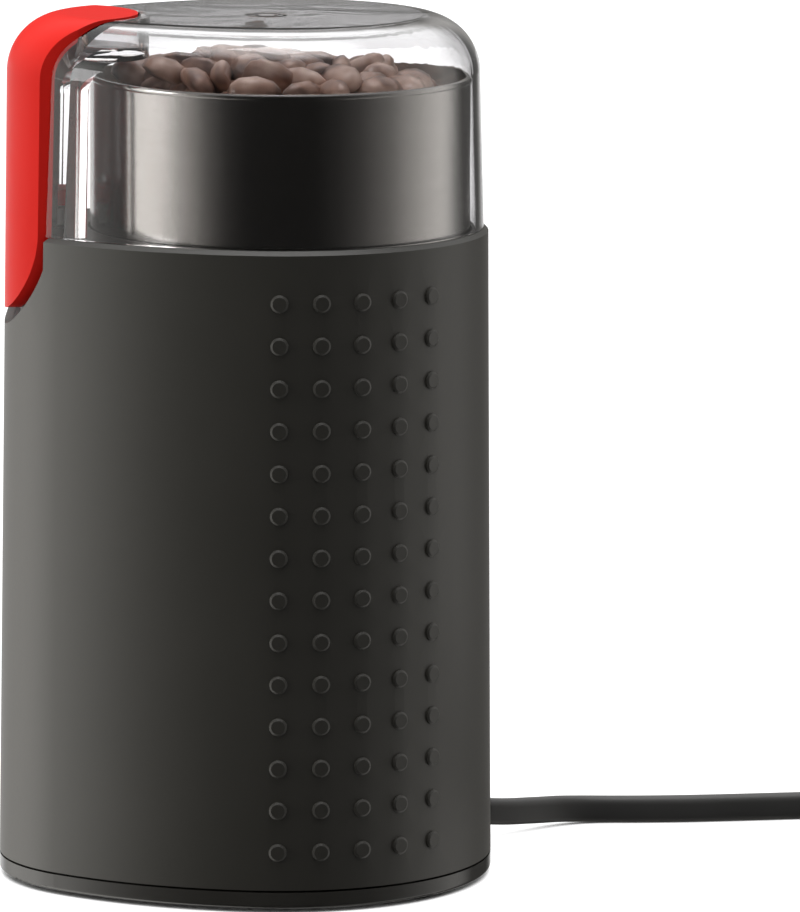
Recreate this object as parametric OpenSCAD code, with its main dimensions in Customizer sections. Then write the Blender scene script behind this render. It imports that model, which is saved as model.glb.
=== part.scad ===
// Electric blade grinder for coffee beans and spices.
// Z is up, the table is z = 0, and the start lever is on the -X side.

/* [Body outline] */
// Radius of the round end of the body, about the motor axis
main_r = 41.5; // [40.5:0.5:43.5]
// How strongly the body narrows towards the lever (1 = 14 mm longer than wide)
taper = 0.92; // [0.84:0.04:1.08]
// Inward slope of the body wall, per mm of height
draft = 0.011; // [0.006:0.001:0.014]
// Height of the glossy base band's top edge
band_top = 4; // [3.6:0.1:5]
// Rounding of the base band's lower edge
band_r = 0.8; // [0.6:0.1:1.5]
// Gap in the seam between base band and sleeve
seam = 0.4; // [0.2:0.1:0.8]

/* [Sleeve] */
// Thickness of the rubber sleeve
sleeve_t = 1.6; // [1.2:0.1:1.8]
// Diameter of one grip dot
dot_d = 3.4; // [2.6:0.1:4]
// Height of a grip dot over the sleeve
dot_h = 0.6; // [0.3:0.1:1]
// Distance between dots in a column
dot_pitch = 8.08; // [7:0.01:9]
// Angle between the columns of dots
dot_step = 11.4; // [9:0.1:13]
// Columns of dots on each side
dot_cols = 5; // [3:1:6]
// Plain strip over the top dots, to the middle of the dots
dot_rim = 9.8; // [9:0.1:20]

/* [Housing] */
// Housing wall at the top rim
wall = 2.2; // [1.8:0.1:2.6]
// Thickness of the deck round the bowl
deck_t = 2.5; // [2:0.1:3.5]
// Thickness of the floor that carries the bowl
floor_t = 2.5; // [2:0.1:3.5]
// Thickness of the base plate's floor
plate_t = 2.2; // [1.8:0.1:2.6]
// Radius of a rubber foot
foot_r = 5; // [4:0.5:6]
// How far the feet stand out under the base
foot_h = 0.8; // [0.5:0.1:1.2]

/* [Lid] */
// Height of the lid's top over the bowl rim
head_room = 11.6; // [10.5:0.1:14]
// Wall of the clear lid
lid_wall = 1.5; // [1.2:0.1:1.6]
// Radius of the lid's shoulder
lid_shoulder = 11; // [9:0.5:12]
// Inward slope of the lid wall, per mm of height
lid_draft = 0.03; // [0.025:0.005:0.03]

/* [Start lever] */
// Half width of the lever strap
lever_w = 16.1; // [14:0.1:16.5]
// Thickness of the lever strap
lever_t = 2.6; // [2.2:0.1:2.8]
// Travel of the lever and of the switch rod
travel = 2.2; // [1.6:0.1:2.4]
// Depth of the lever's scoop in the body
scoop_depth = 3; // [3:0.1:3.3]

/* [Bowl and blade] */
// Free space between the bowl rim and the clear lid
lid_gap = 0.339; // [0.239:0.1:1.439]
// Sheet thickness of the bowl
bowl_t = 0.8; // [0.6:0.1:1]
// Depth of the bowl
bowl_depth = 56.5; // [50:0.5:57]
// Height of the bowl rim above the deck
bowl_rise = 29.3; // [27:0.1:30]
// Length of the blade, tip to tip
blade_l = 60; // [50:1:64]
// Thickness of the blade
blade_t = 1.5; // [1.2:0.1:2]

/* [Motor] */
// Free height between the base plate and the end of the motor shaft
base_room = 11.4; // [8:0.1:16]
// Radius of the motor shaft
shaft_r = 3; // [2.5:0.1:3.2]
// Length of the stator and armature stacks
stack_l = 24; // [20:1:26]
// Radius of the armature stack
arm_r = 14; // [13:0.1:14.2]
// Half length of the stator across the coils
stator_x = 27; // [26.5:0.1:28]
// Half width of the stator
stator_y = 25; // [24.5:0.1:26]

/* [Cord] */
// Height of the flat cord's section
cord_h = 5.4; // [5:0.1:5.8]
// Width of the flat cord's section
cord_w = 3.3; // [3:0.1:3.5]
// Length of the mains plug's body
plug_l = 36; // [32:1:40]

/* [Hidden] */
$fn = 72;
gap = 0.3;           // free space between pieces that move past each other
fit = 0.05;          // running fit, on the radius
slip = 0.1;          // loose fit of fixed pieces, on the radius
fx = 8.505 * taper;  // centre of the flank arcs
fy = 37.8 * taper;
fd = 38.745 * taper; // flank radius beyond main_r
nose_d = 27.495 * taper;
nose_r = main_r - 13.455 * taper;
nose_x = -nose_d - nose_r;             // the outline's end on the lever side
axis_x = (nose_d + nose_r - main_r) / 2;
sleeve_z = band_top + seam;
base_z = foot_h + plate_t;             // top of the base plate's floor
low_z = base_z + base_room + 5.6;      // underside of the lower bracket
comm_z = low_z + 7;
stack_z = low_z + 22;
arm_top = stack_z + stack_l;
up_z = arm_top + 18;                   // underside of the upper bracket
under_z = up_z + 11.8;
seat_z = under_z + floor_t;            // top of the floor that carries the bowl
gasket_t = 1.2;
bowl_z = seat_z + gasket_t;            // underside of the bowl's bottom
rim_z = bowl_z + bowl_depth;
body_top = rim_z - bowl_rise;          // the body's top rim
lid_top = rim_z + head_room;
in_top = draft * body_top;
in_low = draft * sleeve_z;
sk = sleeve_t + 0.05;              // inset of the housing under the sleeve
cav_in = in_top + sk + wall;       // inset of the housing's inside
lip_in = cav_in + 1.6;             // inside of the upper chamber, thicker under the scoop
lid_z = body_top + 0.1;
lid_in = 2.3;                      // inset of the lid's lower edge
bowl_r = main_r - lid_in - (rim_z - lid_z) * lid_draft - lid_wall - lid_gap;
well_r = bowl_r + 0.4;
well_wall = 2;
sh_z = lid_top - lid_shoulder;
sh_in = lid_in + (sh_z - lid_z) * lid_draft + lid_shoulder;
lever_top = lid_top + 0.3;
lev_sh = lid_shoulder + 0.3;
lev_cz = body_top + 0.6;           // centre of the lever's round lower end
scoop_r = lever_w + 2.8;
rod_x = -well_r - well_wall - 4.4; // switch rod, beside the bowl's well
tongue_x = nose_x + 10.2168;       // centre of the lever's round tongue
rod_r = 2.5;
rod_top = body_top + 4.3;
sw_top = under_z - 0.2;
leg_x = stator_x - 3.2;            // bracket legs and their screws
coil_x = arm_r + 2;                // sides of the field coils
coil_y = arm_r - 1.5;
comm_r = 8;
chamber_z = body_top - 20.7;       // the inside steps in here, under the scoop
foot_a = 48;
boss_a = 75;
foot_pr = main_r - 7.5;
nfoot_r = nose_r - 8.6;

// --- egg outline: four arcs that meet where their centres line up ---
module main_cut()
  polygon([[0, 0], [-2 * fx, 2 * fy], [90, 2 * fy], [90, -2 * fy], [-2 * fx, -2 * fy]]);
module nose_cut()
  polygon([[-nose_d, 0], [-3 * nose_d - 2 * fx, 2 * fy], [-120, 2 * fy], [-120, -2 * fy],
    [-3 * nose_d - 2 * fx, -2 * fy]]);
module flank_cut()
  polygon([[0, 0], [-2 * fx, 2 * fy], [-3 * nose_d - 2 * fx, 2 * fy], [-nose_d, 0]]);
module tall() linear_extrude(440, center = true) children();

// A wall section carried round the outline: x = 0 is the outline at z = 0
module sweep_egg() {
  intersection() {
    rotate_extrude() translate([main_r, 0]) children();
    tall() main_cut();
  }
  intersection() {
    translate([-nose_d, 0, 0]) rotate_extrude() translate([nose_r, 0]) children();
    tall() nose_cut();
  }
  for (m = [0, 1]) mirror([0, m, 0])
    intersection() {
      translate([fx, -fy, 0]) rotate_extrude() translate([main_r + fd, 0]) children();
      tall() flank_cut();
    }
}
module egg2d(inset) {
  intersection() {
    circle(r = main_r - inset);
    main_cut();
  }
  intersection() {
    translate([-nose_d, 0]) circle(r = nose_r - inset);
    nose_cut();
  }
  for (m = [0, 1]) mirror([0, m])
    intersection() {
      translate([fx, -fy]) circle(r = main_r + fd - inset);
      flank_cut();
    }
}
module slab(z0, z1, inset)
  translate([0, 0, z0]) linear_extrude(z1 - z0) egg2d(inset);
module nose_frustum(z0, z1, inset0, inset1)
  translate([-nose_d, 0, z0])
    cylinder(h = z1 - z0, r1 = nose_r - inset0, r2 = nose_r - inset1);
module ring(z0, z1, ro, ri)
  translate([0, 0, z0]) difference() {
    cylinder(h = z1 - z0, r = ro);
    translate([0, 0, -1]) cylinder(h = z1 - z0 + 2, r = ri);
  }
module disc(z0, z1, r) translate([0, 0, z0]) cylinder(h = z1 - z0, r = r);
module hex(z0, z1, across)
  translate([0, 0, z0]) cylinder(h = z1 - z0, r = across / sqrt(3), $fn = 6);

// --- screw with a dished pan head and a cross slot; z = 0 is under the head ---
module screw(len, r, head_r, head_h) {
  difference() {
    union() {
      translate([0, 0, -len]) cylinder(h = len + 0.1, r = r);
      cylinder(h = head_h * 0.6, r = head_r);
      translate([0, 0, head_h * 0.6]) cylinder(h = head_h * 0.4, r1 = head_r, r2 = head_r * 0.7);
    }
    for (a = [0, 90]) rotate([0, 0, a])
      translate([-head_r * 0.6, -0.4, head_h * 0.5]) cube([head_r * 1.2, 0.8, head_h]);
  }
}

// --- lever and scoop ---
module lever_face(r, w, zc)
  rotate([0, -90, 0]) linear_extrude(60) {
    translate([zc, 0]) intersection() {
      circle(r = r);
      translate([-r - 1, -w]) square([r + 1, 2 * w]);
    }
    translate([zc, -w]) square([lid_top, 2 * w]);
  }
// Plan of the strap: straight sides and a round tongue on top of the lid
module tongue(grow) {
  translate([nose_x - 40, -lever_w - grow])
    square([tongue_x - nose_x + 40, 2 * (lever_w + grow)]);
  translate([tongue_x, 0]) intersection() {
    circle(r = lever_w + 0.5 + grow);
    translate([-1, -lever_w - grow]) square([60, 2 * (lever_w + grow)]);
  }
}
// Section of the strap about the nose centre; deep = how far its inside is set back
module strap_half(deep, drop = 0) {
  cx = nose_r - draft * sh_z - lev_sh;
  translate([cx, sh_z - drop]) intersection() {
    circle(r = lev_sh - deep);
    square(lev_sh + 1);
  }
  polygon([[0, lev_cz - 40], [nose_r - draft * (lev_cz - 40) - deep, lev_cz - 40],
    [nose_r - draft * sh_z - deep, sh_z - drop], [0, sh_z - drop]]);
  translate([0, sh_z - drop]) square([cx, lev_sh - deep]);
}
module strap_block(deep, drop)
  translate([-nose_d, 0, 0]) rotate_extrude() strap_half(deep, drop);
module start_lever() color([0.82, 0.10, 0.06]) {
  difference() {
    intersection() {
      strap_block(0, 0);
      lever_face(lever_w, lever_w, lev_cz);
      tall() tongue(0);
    }
    strap_block(lever_t, 0);
  }
  // arm that reaches in through the lid and presses the rod
  difference() {
    translate([nose_x, -4, rod_top + 0.2]) cube([rod_x + 2.8 - nose_x, 8, 3]);
    tall() difference() {
      square(240, center = true);
      translate([-nose_d, 0]) circle(r = nose_r - draft * rod_top - 1);
    }
  }
}
module scoop()
  difference() {
    intersection() {
      translate([nose_x + 24.4168, 0, lev_cz]) rotate([0, -90, 0])
        cylinder(h = 40, r1 = scoop_r - 1.6, r2 = scoop_r + 1.6);
      translate([nose_x - 20, -scoop_r + 1.5, 60]) cube([60, 2 * scoop_r - 3, lid_top]);
    }
    nose_frustum(60, lid_top + 1, draft * 60 + scoop_depth, draft * (lid_top + 1) + scoop_depth);
  }

// --- clear lid ---
module lid_half(t) {
  z0 = t > 0 ? lid_z - 1 : lid_z;
  polygon([[-lid_in + (lid_z - z0) * lid_draft - t, z0],
    [-sh_in + lid_shoulder - t, sh_z], [-sh_in - 6, sh_z], [-sh_in - 6, z0]]);
  translate([-sh_in, sh_z]) intersection() {
    circle(r = lid_shoulder - t);
    square(lid_shoulder + 1);
  }
  translate([-sh_in - 6, sh_z]) square([6, lid_shoulder - t]);
}
pocket_gap = 0.5;
pad_t = 2.5;
module pocket_cut()
  difference() {
    intersection() {
      translate([-nose_d, 0, 0]) cylinder(h = lid_top + 31, r = nose_r + 31);
      lever_face(lever_w + 3, lever_w + pocket_gap, lev_cz - 6);
      tall() tongue(pocket_gap);
    }
    strap_block(lever_t + 0.4, travel + 0.3);
  }
module lid() color([0.86, 0.88, 0.90, 0.4]) {
  difference() {
    union() {
      difference() {
        sweep_egg() lid_half(0);
        sweep_egg() lid_half(lid_wall);
      }
      slab(lid_top - lid_wall, lid_top, sh_in + 1);
      // body of the lever's pocket, inside the shell
      intersection() {
        translate([0, 0, lid_z]) linear_extrude(lid_top - lid_z - 0.3) intersection() {
          tongue(pocket_gap + 1.8);
          egg2d(lid_in + 1);
        }
        difference() {
          translate([-nose_d, 0, 0]) rotate_extrude() strap_half(lever_t - 1.1);
          strap_block(lever_t + 0.4 + pad_t, travel + 0.3);
        }
      }
      // two tongues that drop into the deck
      for (s = [-1, 1])
        translate([rod_x - 3.2, s * 8.25 - 2.25, body_top - 6]) cube([3, 4.5, 14]);
    }
    pocket_cut();
    translate([nose_x - 6, -4.6, body_top + 1.5]) cube([rod_x + 19.3 - nose_x, 9.2, 7.4]);
  }
}

// --- steel bowl ---
module bowl_half(t) {
  r = bowl_r - t;
  c = 9 - t;
  translate([0, bowl_z + t]) square([r - c, rim_z - bowl_z]);
  translate([r - c, bowl_z + 9]) circle(r = c);
  translate([0, bowl_z + 9]) square([r, rim_z - bowl_z]);
}
module grinding_bowl() color([0.75, 0.75, 0.74]) {
  difference() {
    rotate_extrude() intersection() {
      difference() {
        union() {
          bowl_half(0);
          // turned rim
          translate([bowl_r - 0.55, rim_z - 0.55]) circle(r = 0.75);
        }
        bowl_half(bowl_t);
      }
      translate([0, bowl_z - 1]) square([bowl_r + 0.2, bowl_depth + 1]);
    }
    disc(bowl_z - 1, bowl_z + 2, 6 + slip);
  }
}
module bowl_gasket() color([0.15, 0.15, 0.15])
  ring(seat_z, bowl_z, 20, 11);
// threaded bush that clamps the bowl and guides the shaft
module shaft_bush() color([0.78, 0.62, 0.30])
  difference() {
    union() {
      disc(under_z - 6, bowl_z + bowl_t + 4, 6);
      disc(bowl_z + bowl_t, bowl_z + bowl_t + 1.6, 9.5);
      translate([0, 0, bowl_z + bowl_t + 1.6]) cylinder(h = 2.4, r1 = 8.5, r2 = 6);
    }
    disc(under_z - 7, bowl_z + 10, shaft_r + fit);
  }
module bush_nut() color([0.70, 0.70, 0.70])
  difference() {
    hex(under_z - 4, under_z, 17);
    disc(under_z - 5, under_z + 1, 6);
  }
module shaft_seal() color([0.12, 0.12, 0.12])
  difference() {
    union() {
      disc(bowl_z + bowl_t + 4, bowl_z + bowl_t + 5, 5.5);
      translate([0, 0, bowl_z + bowl_t + 5]) cylinder(h = 1, r1 = 5, r2 = 3.8);
    }
    disc(bowl_z, bowl_z + 10, shaft_r + 0.15);
  }

// --- blade ---
hub_z = bowl_z + bowl_t + 6.3;
blade_z = hub_z + 3.2;
wing_up = 24;
module blade_hub() color([0.10, 0.10, 0.10])
  difference() {
    union() {
      disc(hub_z, blade_z, 7.5);
      disc(blade_z, blade_z + blade_t, 4.4);
    }
    disc(hub_z - 1, blade_z + 5, shaft_r);
  }
bend_x = 14;
// Plan of one wing, cutting edge at +y
module wing2d()
  polygon([[0, -6.5], [14, -6.5], [blade_l / 2 - 1.5, -3.2], [blade_l / 2, -1.2],
    [blade_l / 2 - 1, 3.4], [18, 5.4], [4, 6.5], [0, 6.5]]);
// Side view of one wing: flat root, then bent up
module wing_side()
  polygon([[0, 0], [bend_x, 0], [bend_x + 20, 20 * tan(wing_up)],
    [bend_x + 20, 20 * tan(wing_up) + blade_t / cos(wing_up)],
    [bend_x - blade_t * tan(wing_up / 2), blade_t], [0, blade_t]]);
module wing()
  difference() {
    intersection() {
      linear_extrude(20) wing2d();
      rotate([90, 0, 0]) linear_extrude(20, center = true) wing_side();
    }
    // ground edge
    translate([bend_x + 2, 6.9, 0.5]) rotate([0, -wing_up, 0]) rotate([0, 0, -10]) rotate([30, 0, 0])
      translate([0, -4, 0]) cube([30, 8, 5]);
  }
module blade() color([0.80, 0.80, 0.80])
  difference() {
    translate([0, 0, blade_z]) union() {
      cylinder(h = blade_t, r = 8.2);
      wing();
      rotate([0, 0, 180]) wing();
    }
    disc(blade_z - 1, blade_z + blade_t + 1, 4.4);
  }
module blade_cap() color([0.10, 0.10, 0.10])
  difference() {
    union() {
      disc(blade_z + blade_t, blade_z + blade_t + 2.4, 6.6);
      translate([0, 0, blade_z + blade_t + 2.4]) cylinder(h = 2.6, r1 = 6.6, r2 = 4.6);
      disc(blade_z + blade_t + 5, blade_z + blade_t + 6, 4.6);
    }
    disc(blade_z, blade_z + blade_t + 4.5, shaft_r);
    // two flats for the key
    for (a = [0, 180]) rotate([0, 0, a])
      translate([4, -10, blade_z + blade_t + 2]) cube([5, 20, 5]);
  }

// --- rubber sleeve with its field of grip dots ---
module sleeve_wall()
  polygon([[-in_low, sleeve_z], [-in_top + draft * 0.8, body_top - 0.8], [-in_top - 0.8, body_top],
    [-in_top - sleeve_t, body_top], [-in_low - sleeve_t, sleeve_z]]);
dot_az = -95.6;
dot_z = sleeve_z + 7.4;
dot_rows = floor((body_top - dot_rim - dot_z) / dot_pitch) + 1;
module dots()
  for (m = [0, 1]) mirror([0, m, 0])
    for (c = [0 : dot_cols - 1]) for (k = [0 : dot_rows - 1]) {
      z = dot_z + k * dot_pitch;
      rotate([0, 0, dot_az + c * dot_step]) translate([main_r - draft * z - 0.8, 0, z])
        rotate([0, 90, 0]) {
          cylinder(h = 0.8 + dot_h * 0.6, r = dot_d / 2);
          translate([0, 0, 0.8 + dot_h * 0.6])
            cylinder(h = dot_h * 0.4, r1 = dot_d / 2, r2 = dot_d / 2 - 0.4);
        }
    }
module grip_sleeve() color([0.24, 0.23, 0.21]) {
  difference() {
    sweep_egg() sleeve_wall();
    scoop();
    relief_slot();
  }
  dots();
}

// --- housing: outer wall, deck, bowl well, guides and bosses ---
function boss_xy(i) = i == 0 ? [(main_r - 8.3) * cos(boss_a), (main_r - 8.3) * sin(boss_a)]
  : i == 1 ? [(main_r - 8.3) * cos(boss_a), -(main_r - 8.3) * sin(boss_a)]
  : i == 2 ? [-nose_d - (nose_r - 8.3) * cos(20), (nose_r - 8.3) * sin(20)]
  : [-nose_d - (nose_r - 8.3) * cos(20), -(nose_r - 8.3) * sin(20)];
module boss_pattern() for (i = [0 : 3]) translate(boss_xy(i)) children();
mount_r = 27.5;
module mount_pattern() for (a = [45 : 90 : 315]) rotate([0, 0, a]) translate([mount_r, 0, 0]) children();

module housing() color([0.16, 0.16, 0.17]) {
  difference() {
    union() {
      sweep_egg() polygon([[-in_low - sk, sleeve_z], [-in_top - sk, body_top],
        [-14, body_top], [-14, sleeve_z]]);
      slab(band_top + 0.05, body_top, 12);
      slab(band_top + 0.05, sleeve_z + 0.2, 2.2);
    }
    // inside
    difference() {
      union() {
        slab(0, chamber_z, cav_in);
        slab(chamber_z - 6, body_top - deck_t, lip_in);
      }
      disc(under_z, lid_top, well_r + well_wall);
      // guide for the switch rod
      translate([rod_x, 0, body_top - deck_t - 8.2]) cylinder(h = 20, r = rod_r + 2.1);
      // shelf over the switch
      translate([rod_x - 16.7, -9, under_z]) cube([30, 18, floor_t]);
      boss_pattern() cylinder(h = 24, r = 4);
      mount_pattern() translate([0, 0, up_z + 6]) cylinder(h = 20, r = 4);
      // ribs that hold the switch
      for (s = [-1, 1])
        translate([rod_x - 8, s * 11.8 - 1.5, under_z - 12]) cube([11.4, 3, 14]);
    }
    disc(seat_z, lid_top, well_r);
    disc(under_z - 1, seat_z + 1, 6 + slip);
    translate([rod_x, 0, under_z - 20]) cylinder(h = lid_top, r = rod_r + slip);
    // slots for the lid's tongues
    for (s = [-1, 1])
      translate([rod_x - 3.5, s * 8.25 - 2.55, body_top - 7]) cube([3.6, 5.1, 20]);
    boss_pattern() translate([0, 0, -1]) cylinder(h = 22, r = 1.3);
    mount_pattern() translate([0, 0, up_z + 5]) cylinder(h = 7.5, r = 1.4);
    scoop();
    relief_slot();
  }
}

// --- base plate with its glossy band, spigot, vents and foot recesses ---
module foot_pattern_xy() {
  for (s = [-1, 1]) {
    translate([foot_pr * cos(foot_a), s * foot_pr * sin(foot_a), 0]) children();
    translate([-nose_d - nfoot_r * cos(60), s * nfoot_r * sin(60), 0]) children();
  }
}
module base_plate() color([0.10, 0.10, 0.11]) {
  difference() {
    union() {
      sweep_egg() {
        polygon([[-14, foot_h], [-band_r - 0.05, foot_h], [-0.05, foot_h + band_r], [-0.05, band_top],
          [-4.8, band_top], [-4.8, base_z], [-14, base_z]]);
        translate([-band_r - 0.05, foot_h + band_r]) circle(r = band_r);
      }
      slab(foot_h, base_z, 12);
      // spigot inside the housing
      difference() {
        slab(foot_h + 1, band_top + 3.5, cav_in + gap);
        slab(base_z, band_top + 5, cav_in + gap + 1.6);
        boss_pattern() cylinder(h = 24, r = 4.4);
      }
      // posts under the cord clamp
      relief_frame() for (s = [-1, 1]) translate([-12.8, s * 8.2, 0])
        translate([0, 0, -16]) cylinder(h = 16 + cord_h / 2 + 0.8, r = 3);
    }
    disc(-30, foot_h, 90);
    relief_frame() for (s = [-1, 1]) translate([-12.8, s * 8.2, 0])
      translate([0, 0, -3]) cylinder(h = 20, r = 1);
    foot_pattern_xy() translate([0, 0, -1]) cylinder(h = foot_h + 2.2, r = foot_r + slip);
    boss_pattern() {
      translate([0, 0, -1]) cylinder(h = 10, r = 1.8);
      translate([0, 0, -1]) cylinder(h = foot_h + 2.5, r = 3.4);
    }
    // cooling slots
    for (i = [-3 : 3])
      translate([i * 6.2 - 1.3 - 4, -9, -1]) cube([2.6, 18, 8]);
    relief_slot();
  }
}
module foot() color([0.08, 0.08, 0.08]) {
  cylinder(h = 0.4, r1 = foot_r - 0.4, r2 = foot_r);
  translate([0, 0, 0.4]) cylinder(h = foot_h + 0.8, r = foot_r);
}
module foot_1() translate([foot_pr * cos(foot_a), foot_pr * sin(foot_a), 0]) foot();
module foot_2() translate([foot_pr * cos(foot_a), -foot_pr * sin(foot_a), 0]) foot();
module foot_3() translate([-nose_d - nfoot_r * cos(60), nfoot_r * sin(60), 0]) foot();
module foot_4() translate([-nose_d - nfoot_r * cos(60), -nfoot_r * sin(60), 0]) foot();
module base_screws() color([0.6, 0.6, 0.6])
  boss_pattern() translate([0, 0, foot_h + 1.5]) mirror([0, 0, 1]) screw(16, 1.3, 3, 1.4);

// --- start switch under the lever ---
module switch_body() color([0.12, 0.12, 0.12]) {
  difference() {
    translate([rod_x - 3.2, -9.9, sw_top - 10.2]) cube([6.4, 19.8, 10.2]);
    translate([rod_x, 0, sw_top - 6.5]) cylinder(h = 8, r = 1.3);
    // mounting holes
    for (s = [-1, 1]) translate([rod_x - 5, s * 6, sw_top - 7]) rotate([0, 90, 0])
      cylinder(h = 10, r = 1.2);
  }
}
module switch_button() color([0.75, 0.1, 0.1])
  translate([rod_x, 0, sw_top - 3.9]) cylinder(h = 6.7, r = 1.2);
module switch_terminals() color([0.80, 0.66, 0.35])
  for (y = [-7.5, 0, 7.5]) difference() {
    translate([rod_x - 0.3, y - 1.6, sw_top - 16.2]) cube([0.6, 3.2, 6]);
    translate([rod_x - 1, y, sw_top - 14]) rotate([0, 90, 0]) cylinder(h = 2, r = 0.7);
  }
rod_low = sw_top + 2.8;
seal_h = 0.6;
collar_z = body_top - deck_t - 8.2 - 0.2;
module push_rod() color([0.85, 0.85, 0.82])
  translate([rod_x, 0, 0]) {
    disc(rod_low, rod_top - 0.6, rod_r);
    disc(collar_z - 3, collar_z, 4);
    disc(body_top + seal_h + travel + 0.2, rod_top - 0.6, 3.4);
    translate([0, 0, rod_top - 0.6]) cylinder(h = 0.6, r1 = 3.4, r2 = 2.8);
  }
// Wire coiled about an axis, with flat ends, as one closed tube
function coil_pts(r, z0, z1, turns, n) = [for (i = [0 : n])
  let(t = i / n, e = min(1, max(0, (t * turns - 0.75) / (turns - 1.5))))
  [r * cos(360 * turns * t), r * sin(360 * turns * t), z0 + (z1 - z0) * e]];
module spring(r, wire, z0, z1, turns) {
  n = turns * 10;
  p = coil_pts(r, z0 + wire, z1 - wire, turns, n);
  pts = [for (i = [0 : n]) let(a = 360 * turns * i / n) for (j = [0 : 5])
    p[i] + wire * cos(60 * j) * [cos(a), sin(a), 0] + [0, 0, wire * sin(60 * j)]];
  faces = concat(
    [for (i = [0 : n - 1]) for (j = [0 : 5])
      [i * 6 + j, i * 6 + (j + 1) % 6, (i + 1) * 6 + (j + 1) % 6, (i + 1) * 6 + j]],
    [[for (j = [0 : 5]) 5 - j]], [[for (j = [0 : 5]) n * 6 + j]]);
  polyhedron(points = pts, faces = faces, convexity = 6);
}
module rod_spring() color([0.7, 0.7, 0.72])
  translate([rod_x, 0, 0]) spring(3.4, 0.35, seat_z + 0.05, collar_z - 3.05, 6);
module rod_seal() color([0.08, 0.08, 0.08])
  translate([rod_x, 0, 0]) ring(body_top, body_top + seal_h, 3.9, rod_r + 0.15);

// --- motor ---
module stator2d() {
  difference() {
    intersection() {
      translate([-stator_x, -stator_y]) square([2 * stator_x, 2 * stator_y]);
      circle(r = stator_x + 4);
    }
    circle(r = arm_r + 0.6);
    for (mx = [-1, 1]) for (my = [-1, 1])
      translate([mx * coil_x - 4, my * coil_y - 4]) square(8);
    for (mx = [-1, 1]) translate([mx * leg_x, 0]) circle(r = 1.6);
  }
}
module stator_core() color([0.45, 0.46, 0.48])
  translate([0, 0, stack_z]) linear_extrude(stack_l) stator2d();
module field_coil() color([0.72, 0.36, 0.14]) {
  for (mx = [-1, 1])
    translate([mx * coil_x - 3.7, coil_y - 3.7, stack_z - 5]) cube([7.4, 7.4, stack_l + 10]);
  for (z = [stack_z - 5, arm_top + 0.2])
    translate([0, 0, z]) rotate_extrude(angle = 104, start = 38)
      translate([arm_r + 1.6, 0]) square([8, 4.8]);
}
module field_coil_1() field_coil();
module field_coil_2() rotate([0, 0, 180]) field_coil();
module armature_core() color([0.42, 0.42, 0.44])
  difference() {
    disc(stack_z, arm_top, arm_r);
    disc(stack_z - 1, arm_top + 1, shaft_r);
    for (i = [0 : 11]) rotate([0, 0, i * 30]) {
      translate([arm_r - 3.4, 0, stack_z - 1]) cylinder(h = stack_l + 2, r = 1.9);
      translate([arm_r - 3, -0.7, stack_z - 1]) cube([5, 1.4, stack_l + 2]);
    }
  }
module armature_winding() color([0.70, 0.33, 0.12]) {
  for (i = [0 : 11]) rotate([0, 0, i * 30])
    translate([arm_r - 3.4, 0, stack_z - 2]) cylinder(h = stack_l + 4, r = 1.8);
  for (z = [stack_z - 3, arm_top + 0.1]) translate([0, 0, z]) difference() {
    union() {
      cylinder(h = 2.9, r = arm_r - 1.1);
      translate([0, 0, z < stack_z ? -1 : 2.8]) cylinder(h = 1.1, r = arm_r - 3.5);
    }
    translate([0, 0, -2]) cylinder(h = 8, r = shaft_r + 1.2);
  }
}
module commutator() color([0.72, 0.42, 0.20])
  difference() {
    union() {
      disc(comm_z, comm_z + 9, comm_r);
      disc(comm_z + 9, comm_z + 10.5, comm_r + 1);
    }
    disc(comm_z - 1, comm_z + 12, shaft_r);
    for (i = [0 : 11]) rotate([0, 0, i * 30 + 15])
      translate([comm_r - 1.2, -0.25, comm_z - 1]) cube([4, 0.5, 13]);
  }
module motor_shaft() color([0.70, 0.72, 0.74]) {
  disc(low_z - 5, blade_z + blade_t + 4.5, shaft_r);
  disc(low_z - 5.6, low_z - 5, shaft_r - 0.5);
}
module fan() color([0.20, 0.20, 0.21])
  difference() {
    translate([0, 0, arm_top + 6]) {
      cylinder(h = 6.5, r = 6);
      cylinder(h = 1.2, r = leg_x - 5.3);
      for (i = [0 : 8]) rotate([0, 0, i * 40]) translate([5, 0, 0]) rotate([0, 0, 12])
        translate([0, -0.6, 0]) cube([leg_x - 11, 1.2, 6.5]);
    }
    disc(arm_top, arm_top + 20, shaft_r);
  }
module bracket_legs(z0, z1)
  for (mx = [-1, 1]) translate([mx * leg_x - 3.2, -5, z0]) cube([6.4, 10, z1 - z0]);
module upper_bracket() color([0.55, 0.56, 0.58])
  difference() {
    union() {
      disc(up_z, up_z + 3, mount_r + 4.5);
      bracket_legs(arm_top, up_z + 1);
      disc(up_z - 5, up_z + 1, 8.5);
    }
    disc(up_z - 6, up_z + 4, 6);
    for (mx = [-1, 1]) translate([mx * leg_x, 0, arm_top - 1]) cylinder(h = 40, r = 1.6);
    mount_pattern() translate([0, 0, up_z - 1]) cylinder(h = 6, r = 1.7);
    // air windows
    for (a = [0 : 60 : 300]) rotate([0, 0, a + 30]) translate([17, 0, up_z - 1])
      cylinder(h = 5, r = 4.6);
  }
module lower_bracket() color([0.55, 0.56, 0.58])
  difference() {
    union() {
      translate([-stator_x, -6, low_z]) cube([2 * stator_x, 12, 3]);
      translate([-7, 4 - brush_y, low_z]) cube([14, 2 * brush_y - 8, 3]);
      disc(low_z - 2, low_z + 5, 8.5);
      bracket_legs(low_z, stack_z);
    }
    disc(low_z - 3, low_z + 6, 6);
    for (mx = [-1, 1]) translate([mx * leg_x, 0, low_z - 1]) cylinder(h = 40, r = 1.6);
  }
module bearing() color([0.72, 0.58, 0.34])
  difference() {
    cylinder(h = 5.6, r = 6);
    translate([0, 0, -1]) cylinder(h = 8, r = shaft_r + fit);
  }
module upper_bearing() translate([0, 0, up_z - 4]) bearing();
module lower_bearing() translate([0, 0, low_z - 1.5]) bearing();
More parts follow.
